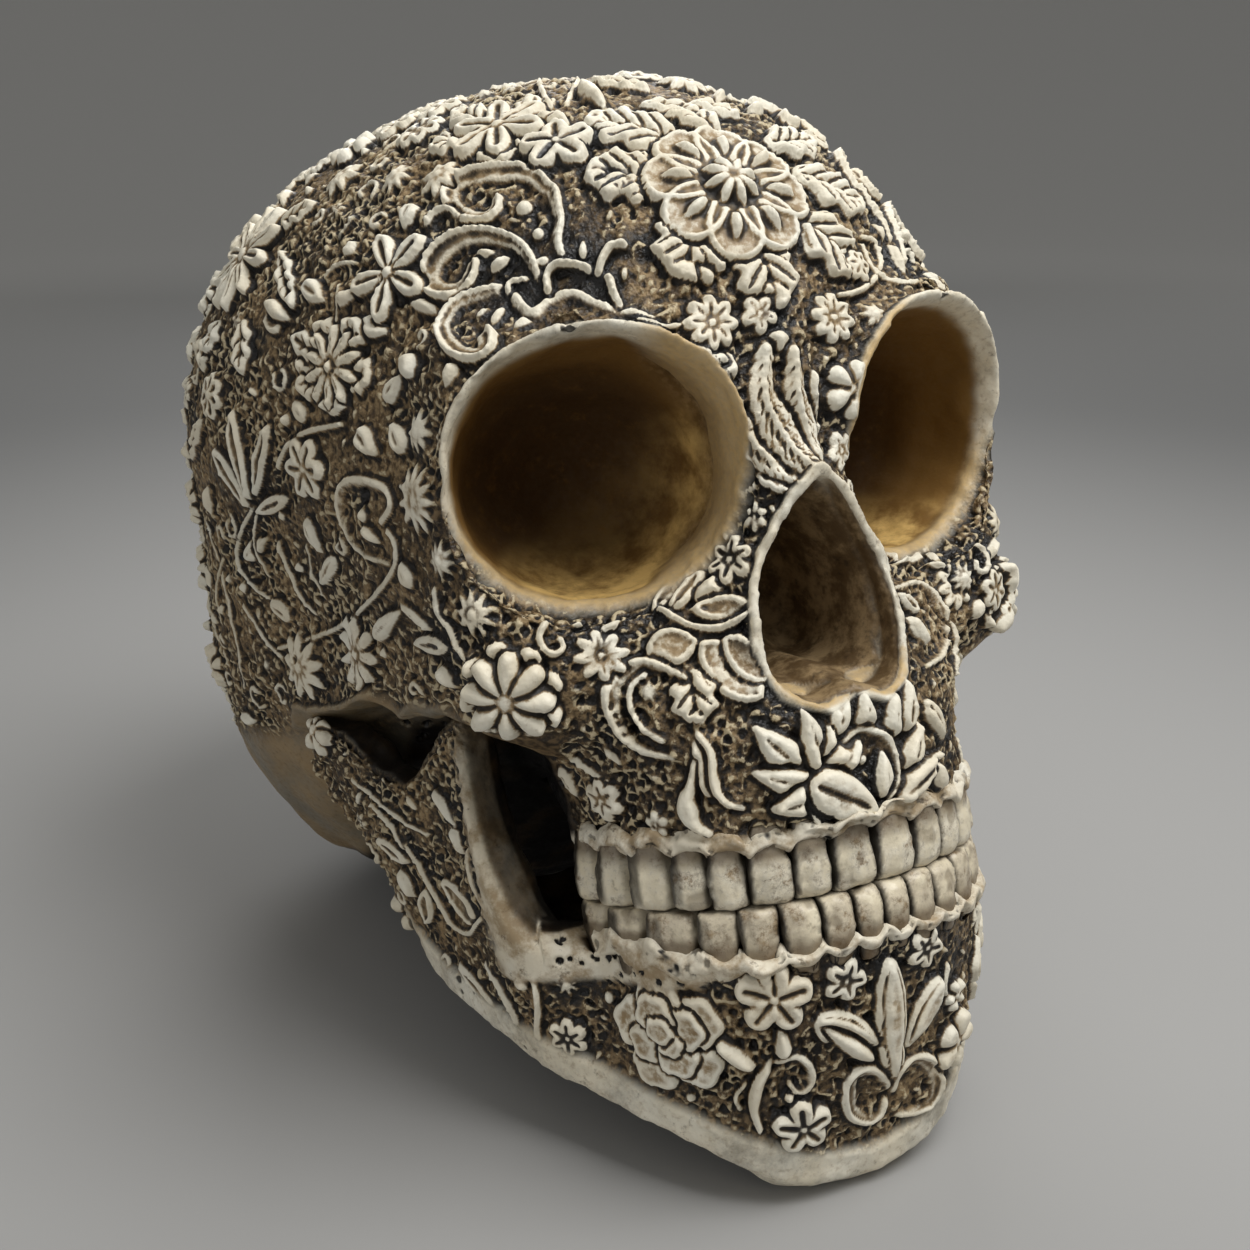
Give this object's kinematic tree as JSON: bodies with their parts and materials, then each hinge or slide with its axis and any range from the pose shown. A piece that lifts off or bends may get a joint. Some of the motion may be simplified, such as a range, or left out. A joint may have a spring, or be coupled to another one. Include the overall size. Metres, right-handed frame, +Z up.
{
  "type": "decorative skull",
  "caption": "Life-size carved skull ornament: cranium with eye and nose hollows, closed lower jaw and full rows of teeth, resting on chin and nape.",
  "frame": {"origin": "centre of the resting skull's box, on the surface that it stands on", "axes": "+Z up, -Y towards the face, +X towards the skull's left side"},
  "size_m": [0.146, 0.2088, 0.1785],
  "materials": {
    "carved_resin": "matt ivory cast resin with a dark brown wash in the carving",
    "tooth_resin": "satin ivory cast resin with brown in the grooves"
  },
  "bodies": {
    "root": {"cranium": "carved_resin", "lower_jaw": "carved_resin", "upper_right_central_incisor": "tooth_resin", "upper_right_lateral_incisor": "tooth_resin", "upper_right_canine": "tooth_resin", "upper_right_first_premolar": "tooth_resin", "upper_right_second_premolar": "tooth_resin", "upper_right_first_molar": "tooth_resin", "upper_right_second_molar": "tooth_resin", "upper_right_third_molar": "tooth_resin", "upper_left_central_incisor": "tooth_resin", "upper_left_lateral_incisor": "tooth_resin", "upper_left_canine": "tooth_resin", "upper_left_first_premolar": "tooth_resin", "upper_left_second_premolar": "tooth_resin", "upper_left_first_molar": "tooth_resin", "upper_left_second_molar": "tooth_resin", "upper_left_third_molar": "tooth_resin", "lower_right_central_incisor": "tooth_resin", "lower_right_lateral_incisor": "tooth_resin", "lower_right_canine": "tooth_resin", "lower_right_first_premolar": "tooth_resin", "lower_right_second_premolar": "tooth_resin", "lower_right_first_molar": "tooth_resin", "lower_right_second_molar": "tooth_resin", "lower_right_third_molar": "tooth_resin", "lower_left_central_incisor": "tooth_resin", "lower_left_lateral_incisor": "tooth_resin", "lower_left_canine": "tooth_resin", "lower_left_first_premolar": "tooth_resin", "lower_left_second_premolar": "tooth_resin", "lower_left_first_molar": "tooth_resin", "lower_left_second_molar": "tooth_resin", "lower_left_third_molar": "tooth_resin"}
  },
  "joints": []
}
